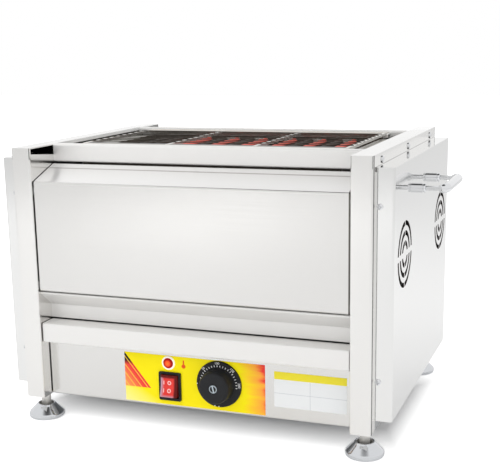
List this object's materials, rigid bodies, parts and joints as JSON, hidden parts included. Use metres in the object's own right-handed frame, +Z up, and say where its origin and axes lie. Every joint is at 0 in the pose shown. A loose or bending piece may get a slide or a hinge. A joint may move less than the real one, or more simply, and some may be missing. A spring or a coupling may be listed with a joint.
{
  "type": "electric fish roaster",
  "caption": "Counter-top electric grill for roasting fish: steel cabinet, wire grate over heating tubes, drip tray drawer, dial and switch panel, side fans, levelling feet.",
  "frame": {"origin": "on the floor under the feet, at the middle of the four posts", "axes": "+Z up; -Y is the front with the controls and the tray; +X is to the right as seen from the front"},
  "size_m": [0.486, 0.3193, 0.298],
  "materials": {
    "stainless_sheet": "mill-polished stainless sheet",
    "galvanised_sheet": "galvanised",
    "bright_liner": "bright rolled",
    "chrome": "chrome plated",
    "heating_tube": "glowing red",
    "grate_steel": "polished",
    "porcelain": "glazed porcelain",
    "fan_plastic": "moulded, satin",
    "label_film": "printed film",
    "white_plastic": "moulded",
    "red_lens": "clear red",
    "black_plastic": "moulded",
    "red_plastic": "translucent",
    "bakelite": "moulded"
  },
  "bodies": {
    "cabinet": {"post_front_left": "stainless_sheet", "post_front_right": "stainless_sheet", "post_rear_left": "stainless_sheet", "post_rear_right": "stainless_sheet", "front_rail": "stainless_sheet", "rear_rail": "stainless_sheet", "lower_crosspiece": "stainless_sheet", "rear_cover": "stainless_sheet", "rear_lower_panel": "stainless_sheet", "control_panel": "stainless_sheet", "front_cover": "stainless_sheet", "side_rail_left": "stainless_sheet", "side_rail_right": "stainless_sheet", "side_cover_left": "stainless_sheet", "side_cover_right": "stainless_sheet", "base_side_left": "galvanised_sheet", "base_side_right": "galvanised_sheet", "base_pan": "galvanised_sheet", "compartment_shelf": "galvanised_sheet", "front_cover_clips": "galvanised_sheet", "inner_side_left": "galvanised_sheet", "inner_side_right": "galvanised_sheet", "tray_runners": "galvanised_sheet", "tube_supports": "galvanised_sheet", "chamber_liner": "bright_liner", "reflector": "bright_liner", "handle_left": "chrome", "handle_right": "chrome", "handle_bosses": "chrome", "leg_sleeves": "chrome", "cover_screws": "chrome", "rail_screws": "chrome", "heating_tubes": "heating_tube", "tube_insulators": "porcelain", "fan_frame_left_front": "fan_plastic", "fan_frame_left_rear": "fan_plastic", "fan_frame_right_front": "fan_plastic", "fan_frame_right_rear": "fan_plastic", "control_label": "label_film", "lamp_body": "white_plastic", "terminal_block": "white_plastic", "lamp_lens": "red_lens", "switch_housing": "black_plastic", "cable_gland": "black_plastic", "thermostat_body": "bakelite"},
    "tray": {"tray_front": "stainless_sheet", "tray_pan": "galvanised_sheet"},
    "knob": {"control_knob": "black_plastic", "thermostat_shaft": "chrome"},
    "rocker": {"switch_rocker": "red_plastic"},
    "grate": {"grate": "grate_steel"},
    "rotor_left_front": {"fan_rotor_left_front": "fan_plastic"},
    "rotor_left_rear": {"fan_rotor_left_rear": "fan_plastic"},
    "rotor_right_front": {"fan_rotor_right_front": "fan_plastic"},
    "rotor_right_rear": {"fan_rotor_right_rear": "fan_plastic"},
    "foot_front_left": {"foot_front_left": "chrome"},
    "foot_rear_left": {"foot_rear_left": "chrome"},
    "foot_front_right": {"foot_front_right": "chrome"},
    "foot_rear_right": {"foot_rear_right": "chrome"}
  },
  "joints": [
    {"name": "tray_slide", "type": "slide", "parent": "cabinet", "child": "tray", "axis": [0, -1, 0], "range_m": [0, 0.24]},
    {"name": "knob_turn", "type": "hinge", "parent": "cabinet", "child": "knob", "pos_m": [0.0286, -0.141, 0.059], "axis": [0, 1, 0], "range_deg": [-95, 180]},
    {"name": "rocker_tilt", "type": "hinge", "parent": "cabinet", "child": "rocker", "pos_m": [-0.0265, -0.1384, 0.051], "axis": [1, 0, 0], "range_deg": [0, 18]},
    {"name": "grate_lift", "type": "slide", "parent": "cabinet", "child": "grate", "axis": [0, 0, 1], "range_m": [0, 0.12]},
    {"name": "rotor_left_front_spin", "type": "hinge", "parent": "cabinet", "child": "rotor_left_front", "pos_m": [-0.1998, -0.098, 0.1965], "axis": [1, 0, 0], "continuous": true},
    {"name": "rotor_left_rear_spin", "type": "hinge", "parent": "cabinet", "child": "rotor_left_rear", "pos_m": [-0.1998, 0.098, 0.1965], "axis": [1, 0, 0], "continuous": true},
    {"name": "rotor_right_front_spin", "type": "hinge", "parent": "cabinet", "child": "rotor_right_front", "pos_m": [0.1998, -0.098, 0.1965], "axis": [1, 0, 0], "continuous": true},
    {"name": "rotor_right_rear_spin", "type": "hinge", "parent": "cabinet", "child": "rotor_right_rear", "pos_m": [0.1998, 0.098, 0.1965], "axis": [1, 0, 0], "continuous": true},
    {"name": "foot_front_left_level", "type": "slide", "parent": "cabinet", "child": "foot_front_left", "axis": [0, 0, 1], "range_m": [-0.01, 0.004]},
    {"name": "foot_rear_left_level", "type": "slide", "parent": "cabinet", "child": "foot_rear_left", "axis": [0, 0, 1], "range_m": [-0.01, 0.004]},
    {"name": "foot_front_right_level", "type": "slide", "parent": "cabinet", "child": "foot_front_right", "axis": [0, 0, 1], "range_m": [-0.01, 0.004]},
    {"name": "foot_rear_right_level", "type": "slide", "parent": "cabinet", "child": "foot_rear_right", "axis": [0, 0, 1], "range_m": [-0.01, 0.004]}
  ]
}
